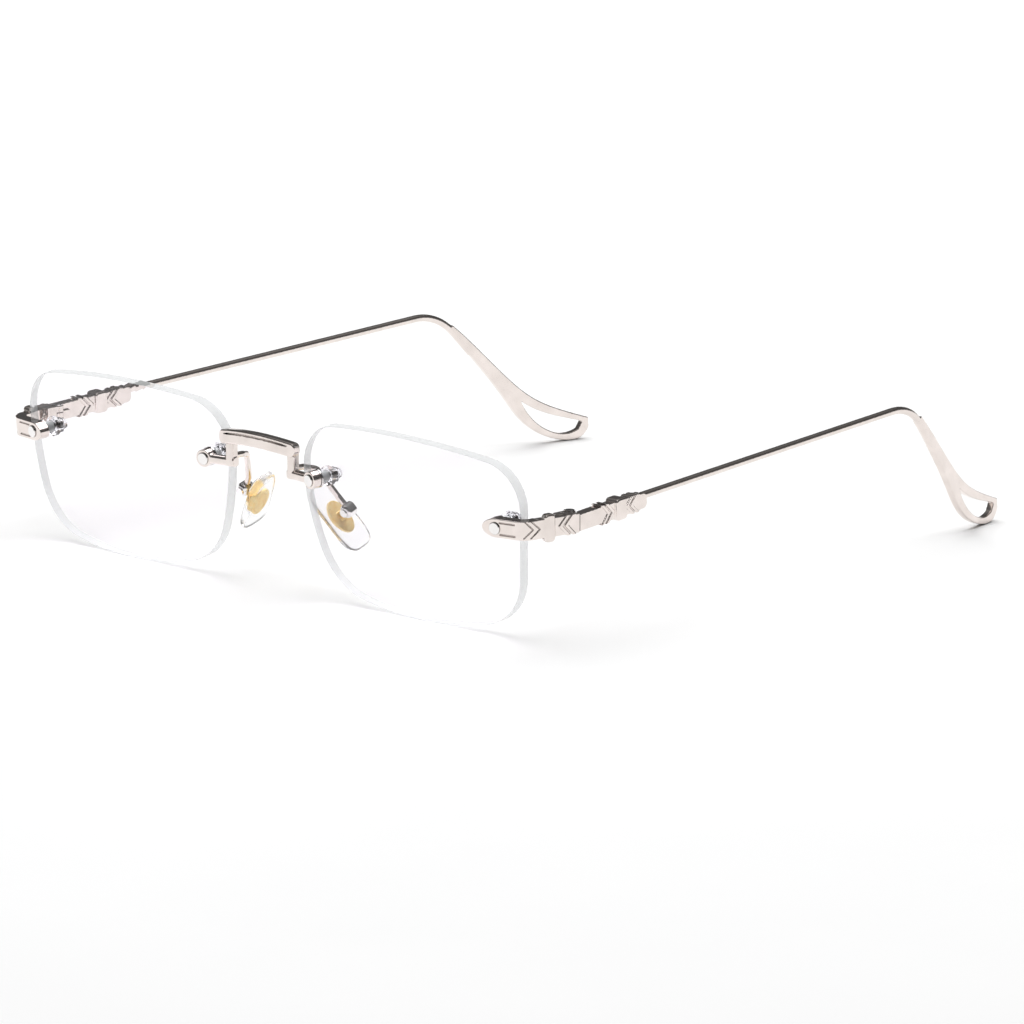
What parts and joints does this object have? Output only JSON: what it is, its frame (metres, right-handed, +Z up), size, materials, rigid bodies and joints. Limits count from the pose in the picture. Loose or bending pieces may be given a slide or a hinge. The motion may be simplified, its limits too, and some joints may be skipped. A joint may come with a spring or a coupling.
{
  "type": "rimless eyeglasses",
  "caption": "Rimless eyeglasses with drilled lenses, an arched metal bridge, ornamented metal temples with open ear ends, and clear nose pads.",
  "frame": {"origin": "centre of the bounding box's base, on the ground the lenses and ear ends rest on", "axes": "-Y is the way the lens fronts face, +X the right side seen from the front, +Z up"},
  "size_m": [0.136, 0.139, 0.0338],
  "materials": {
    "lens": "clear, anti-reflection coated, frosted edge",
    "silver_metal": "polished warm silver",
    "bright_metal": "polished",
    "clear_plastic": "clear",
    "clear_nut": "clear, faceted",
    "gold_plate": "satin gold",
    "pad_silicone": "clear silicone"
  },
  "bodies": {
    "frame": {"bridge": "silver_metal", "left_endpiece": "silver_metal", "left_hinge_screw": "bright_metal", "left_lens": "lens", "left_nose_cap_nut": "clear_nut", "left_nose_front_washer": "bright_metal", "left_nose_rear_washer": "clear_plastic", "left_nose_sleeve": "clear_plastic", "left_nose_stud": "bright_metal", "left_outer_cap_nut": "clear_nut", "left_outer_front_washer": "bright_metal", "left_outer_rear_washer": "clear_plastic", "left_outer_sleeve": "clear_plastic", "left_outer_stud": "bright_metal", "left_pad_arm": "silver_metal", "left_pad_box": "silver_metal", "left_pad_screw": "bright_metal", "right_endpiece": "silver_metal", "right_hinge_screw": "bright_metal", "right_lens": "lens", "right_nose_cap_nut": "clear_nut", "right_nose_front_washer": "bright_metal", "right_nose_rear_washer": "clear_plastic", "right_nose_sleeve": "clear_plastic", "right_nose_stud": "bright_metal", "right_outer_cap_nut": "clear_nut", "right_outer_front_washer": "bright_metal", "right_outer_rear_washer": "clear_plastic", "right_outer_sleeve": "clear_plastic", "right_outer_stud": "bright_metal", "right_pad_arm": "silver_metal", "right_pad_box": "silver_metal", "right_pad_screw": "bright_metal"},
    "right_temple": {"right_temple_casting": "silver_metal", "right_temple_wire": "silver_metal"},
    "left_temple": {"left_temple_casting": "silver_metal", "left_temple_wire": "silver_metal"},
    "right_pad": {"right_nose_pad": "pad_silicone", "right_pad_core": "gold_plate"},
    "left_pad": {"left_nose_pad": "pad_silicone", "left_pad_core": "gold_plate"}
  },
  "joints": [
    {"name": "right_temple_hinge", "type": "hinge", "parent": "frame", "child": "right_temple", "pos_m": [0.06528, -0.05543, 0.021], "axis": [0, 0, 1], "range_deg": [0, 84]},
    {"name": "left_temple_hinge", "type": "hinge", "parent": "frame", "child": "left_temple", "pos_m": [-0.06528, -0.05543, 0.021], "axis": [0, 0, -1], "range_deg": [0, 78]},
    {"name": "right_pad_rock", "type": "hinge", "parent": "frame", "child": "right_pad", "pos_m": [0.01321, -0.05821, 0.01552], "axis": [-0.0555, 0.9423, 0.3301], "range_deg": [-12, 12]},
    {"name": "left_pad_rock", "type": "hinge", "parent": "frame", "child": "left_pad", "pos_m": [-0.01321, -0.05821, 0.01552], "axis": [-0.0555, -0.9423, -0.3301], "range_deg": [-12, 12]}
  ]
}
